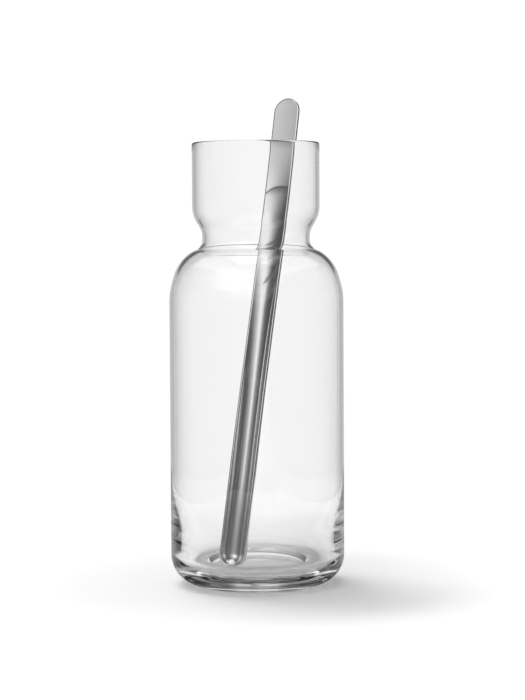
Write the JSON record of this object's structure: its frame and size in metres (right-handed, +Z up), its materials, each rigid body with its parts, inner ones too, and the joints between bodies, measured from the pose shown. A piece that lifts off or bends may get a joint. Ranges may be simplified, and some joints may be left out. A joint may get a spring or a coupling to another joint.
{
  "type": "carafe with mixing spoon",
  "caption": "Clear glass carafe with a plain collar, pinched waist, domed shoulder and heavy base, with a long trough-shaped steel mixing spoon leaning in it.",
  "frame": {"origin": "centre of the carafe's foot, on the surface that it stands on", "axes": "+Z up along the carafe's axis; the picture is taken looking along +Y, with +X to the right; the spoon leans towards +Y and +X"},
  "size_m": [0.098, 0.098, 0.2752],
  "materials": {
    "clear_glass": "clear, fire-polished",
    "polished_steel": "mirror-polished stainless steel"
  },
  "bodies": {
    "carafe": {"carafe": "clear_glass"},
    "spoon": {"mixing_spoon": "polished_steel"}
  },
  "joints": [
    {"name": "spoon_lift", "type": "slide", "parent": "carafe", "child": "spoon", "axis": [0.1128, 0.1953, 0.9742], "range_m": [0, 0.26]}
  ]
}
